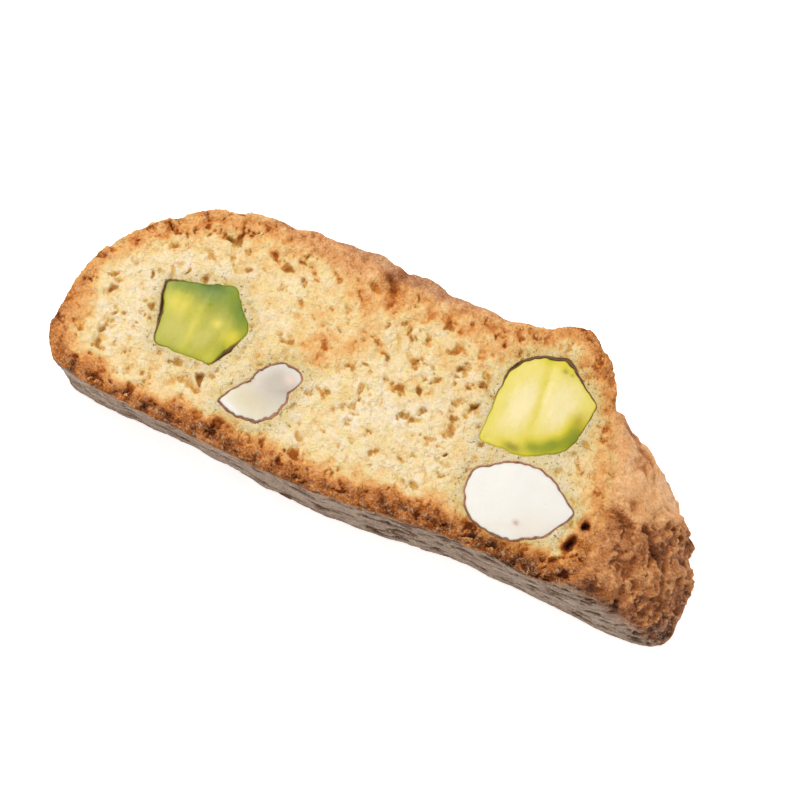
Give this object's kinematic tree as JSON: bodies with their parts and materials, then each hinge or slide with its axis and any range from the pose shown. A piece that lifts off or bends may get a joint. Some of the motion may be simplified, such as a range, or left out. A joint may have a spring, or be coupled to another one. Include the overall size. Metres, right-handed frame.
{
  "type": "biscotti slice",
  "caption": "Bias-cut slice of biscotti with a browned crust, a flat sole, a sloping toe, and cut almonds and pistachios in its crumb.",
  "frame": {"origin": "middle of the footprint, on the surface that the back cut face lies on", "axes": "+X along the slice towards the loaf's thin toe, +Y from the flat sole to the crown, +Z out of the shown cut face"},
  "size_m": [0.0818, 0.0316, 0.0126],
  "materials": {
    "dough": "dry baked dough: pale porous crumb, toasted towards a browned crust",
    "almond": "cut almond, ivory and faintly waxy, with a thin brown skin",
    "pistachio_green": "cut pistachio, waxy, green at the edge and yellow within",
    "pistachio_yellow": "cut pistachio, waxy, yellow with a green lower edge"
  },
  "bodies": {
    "root": {"dough": "dough", "almond_large": "almond", "almond_small": "almond", "pistachio_left": "pistachio_green", "pistachio_right": "pistachio_yellow"}
  },
  "joints": []
}
